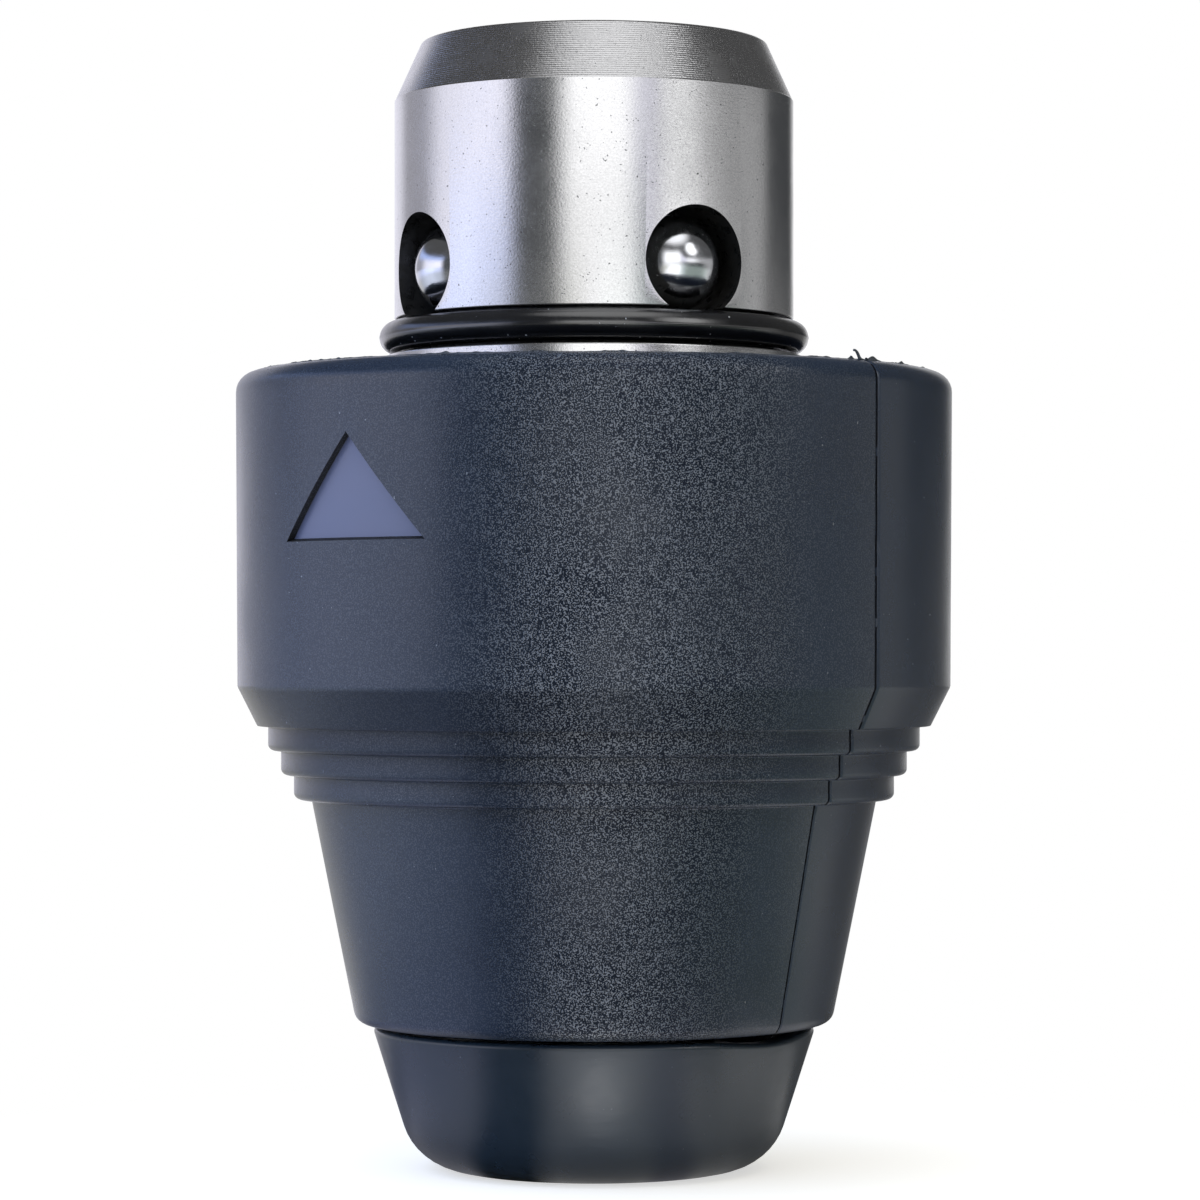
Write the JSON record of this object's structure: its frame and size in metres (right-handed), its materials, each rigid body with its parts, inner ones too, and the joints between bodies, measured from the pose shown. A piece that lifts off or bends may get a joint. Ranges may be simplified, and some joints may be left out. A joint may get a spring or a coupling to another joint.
{
  "type": "quick-change drill chuck",
  "caption": "Quick-change rotary-hammer chuck: balls lock a slotted tool shank in the nose and the steel spigot on the machine; a sprung sleeve slides back to free the tool.",
  "frame": {"origin": "centre of the nose face of the dust cap, the lowest point of the part", "axes": "+Z along the tool's axis, from the nose towards the machine; the tool lock balls lie on X and the drive keys on Y"},
  "size_m": [0.053, 0.053, 0.0833],
  "materials": {
    "ground_steel": "ground and turned",
    "ball_steel": "polished",
    "hardened_steel": "hardened, oiled",
    "spring_steel": "drawn wire",
    "rubber": "moulded, satin",
    "nylon": "glass-filled, spark-eroded grain"
  },
  "bodies": {
    "holder": {"holder_body": "ground_steel", "retaining_o_ring": "rubber", "dust_cap": "rubber", "snap_ring": "spring_steel", "thrust_washer": "hardened_steel", "spring_seat_washer": "hardened_steel", "compression_spring": "spring_steel"},
    "sleeve": {"actuating_sleeve": "nylon", "locking_ring": "hardened_steel"},
    "retaining_plate": {"ball_retaining_plate": "hardened_steel"},
    "tool_ball_1": {"tool_lock_ball_1": "ball_steel"},
    "tool_ball_2": {"tool_lock_ball_2": "ball_steel"},
    "machine_ball_1": {"machine_lock_ball_1": "ball_steel"},
    "machine_ball_2": {"machine_lock_ball_2": "ball_steel"},
    "machine_ball_3": {"machine_lock_ball_3": "ball_steel"},
    "machine_ball_4": {"machine_lock_ball_4": "ball_steel"}
  },
  "joints": [
    {"name": "sleeve_slide", "type": "slide", "parent": "holder", "child": "sleeve", "axis": [0, 0, 1], "range_m": [0, 0.006], "stiffness_N_per_m": 2000, "springref_m": -0.006, "deforming": ["compression_spring"]},
    {"name": "retaining_plate_slide", "type": "slide", "parent": "sleeve", "child": "retaining_plate", "axis": [0, 0, 1], "range_m": [0, 0.0035], "stiffness_N_per_m": 1000, "springref_m": -0.006},
    {"name": "tool_ball_1_slide", "type": "slide", "parent": "holder", "child": "tool_ball_1", "axis": [1, 0, 0], "range_m": [0, 0.0019]},
    {"name": "tool_ball_2_slide", "type": "slide", "parent": "holder", "child": "tool_ball_2", "axis": [-1, 0, 0], "range_m": [0, 0.0019]},
    {"name": "machine_ball_1_slide", "type": "slide", "parent": "holder", "child": "machine_ball_1", "axis": [0.5, -0.866, 0], "range_m": [0, 0.0024]},
    {"name": "machine_ball_2_slide", "type": "slide", "parent": "holder", "child": "machine_ball_2", "axis": [-0.866, -0.5, 0], "range_m": [0, 0.0024]},
    {"name": "machine_ball_3_slide", "type": "slide", "parent": "holder", "child": "machine_ball_3", "axis": [-0.5, 0.866, 0], "range_m": [0, 0.0024]},
    {"name": "machine_ball_4_slide", "type": "slide", "parent": "holder", "child": "machine_ball_4", "axis": [0.866, 0.5, 0], "range_m": [0, 0.0024]}
  ],
  "couplings": [
    {"joint": "tool_ball_1_slide", "follows": "sleeve_slide", "ratio": 0.3166},
    {"joint": "tool_ball_2_slide", "follows": "sleeve_slide", "ratio": 0.3166}
  ]
}
